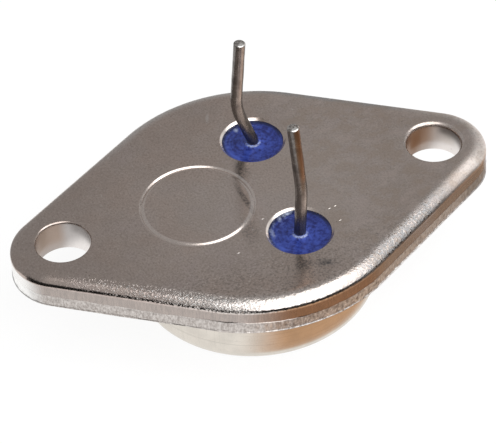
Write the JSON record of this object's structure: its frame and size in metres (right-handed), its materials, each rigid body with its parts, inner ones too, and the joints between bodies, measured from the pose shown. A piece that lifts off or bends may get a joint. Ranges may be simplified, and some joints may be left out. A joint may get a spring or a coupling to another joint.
{
  "type": "power transistor",
  "caption": "Power transistor in a metal case: a diamond flange with screw holes, a round can below and bent pins in blue glass seals above.",
  "frame": {"origin": "centre of the can's flat crown, which is the lowest point and the middle of the part's box in X and Y", "axes": "+Z out of the seating face, along the pins; +X along the line of the two screw holes, towards the end that the pins are nearer to; +Y completes the right-handed set, towards the base pin"},
  "size_m": [0.0384, 0.0246, 0.0195],
  "materials": {
    "nickel_plate": "satin nickel plate with a fine grain, bright on its rolled edge",
    "can_metal": "semi-bright nickel plate on a drawn cap",
    "pin_metal": "dull nickel plate, drawn wire",
    "seal_glass": "opaque deep blue glass, glossy",
    "copper": "satin copper",
    "braze_metal": "satin",
    "solder_metal": "dull",
    "silicon": "polished",
    "wire_metal": "satin"
  },
  "bodies": {
    "root": {"header_plate": "nickel_plate", "base_glass_seal": "seal_glass", "emitter_glass_seal": "seal_glass", "base_pin": "pin_metal", "emitter_pin": "pin_metal", "can": "can_metal", "heat_spreader": "copper", "spreader_braze": "braze_metal", "die_solder": "solder_metal", "silicon_die": "silicon", "emitter_bond_wires": "wire_metal", "base_bond_wire": "wire_metal"}
  },
  "joints": []
}
